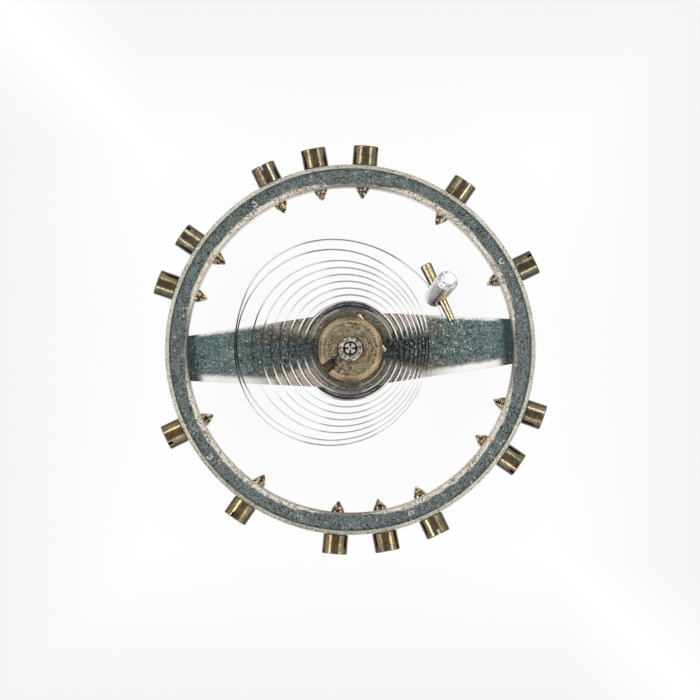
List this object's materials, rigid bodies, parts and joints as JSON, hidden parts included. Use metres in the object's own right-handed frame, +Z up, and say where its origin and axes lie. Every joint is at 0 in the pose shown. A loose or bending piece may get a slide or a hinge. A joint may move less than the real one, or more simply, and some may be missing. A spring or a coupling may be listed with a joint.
{
  "type": "watch balance wheel",
  "caption": "Watch balance complete: screwed balance wheel on its staff, with double roller, impulse jewel, collet, flat hairspring and pinned stud.",
  "frame": {"origin": "tip of the lower pivot, on the axis of the balance staff", "axes": "+Z up the staff from the roller towards the hairspring, +X along one arm of the wheel"},
  "size_m": [0.0094, 0.01, 0.0031],
  "materials": {
    "wheel_nickel": "nickel-plated beryllium bronze, flat faces ground, bevels polished",
    "screw_bronze": "turned bronze, polished, slightly toned",
    "staff_steel": "hardened steel, black polished",
    "roller_steel": "hardened steel, polished dark",
    "ruby": "polished synthetic ruby",
    "collet_brass": "turned brass, slightly tarnished",
    "pin_brass": "drawn brass, bright",
    "spring_alloy": "rolled spring alloy, bright faces",
    "stud_steel": "polished steel"
  },
  "bodies": {
    "stud_side": {"stud": "stud_steel", "stud_pin": "pin_brass"},
    "balance": {"balance_wheel": "wheel_nickel", "balance_screw_01": "screw_bronze", "balance_screw_02": "screw_bronze", "balance_screw_03": "screw_bronze", "balance_screw_04": "screw_bronze", "balance_screw_05": "screw_bronze", "balance_screw_06": "screw_bronze", "balance_screw_07": "screw_bronze", "balance_screw_08": "screw_bronze", "balance_screw_09": "screw_bronze", "balance_screw_10": "screw_bronze", "balance_screw_11": "screw_bronze", "balance_screw_12": "screw_bronze", "balance_screw_13": "screw_bronze", "balance_screw_14": "screw_bronze", "balance_staff": "staff_steel", "double_roller": "roller_steel", "impulse_jewel": "ruby", "collet": "collet_brass", "collet_pin": "pin_brass", "hairspring": "spring_alloy"}
  },
  "joints": [
    {"name": "balance_swing", "type": "hinge", "parent": "stud_side", "child": "balance", "pos_m": [0, 0, 0], "axis": [0, 0, 1], "range_deg": [-300, 300], "stiffness_Nm_per_rad": 0.00000074, "deforming": ["hairspring"]}
  ]
}
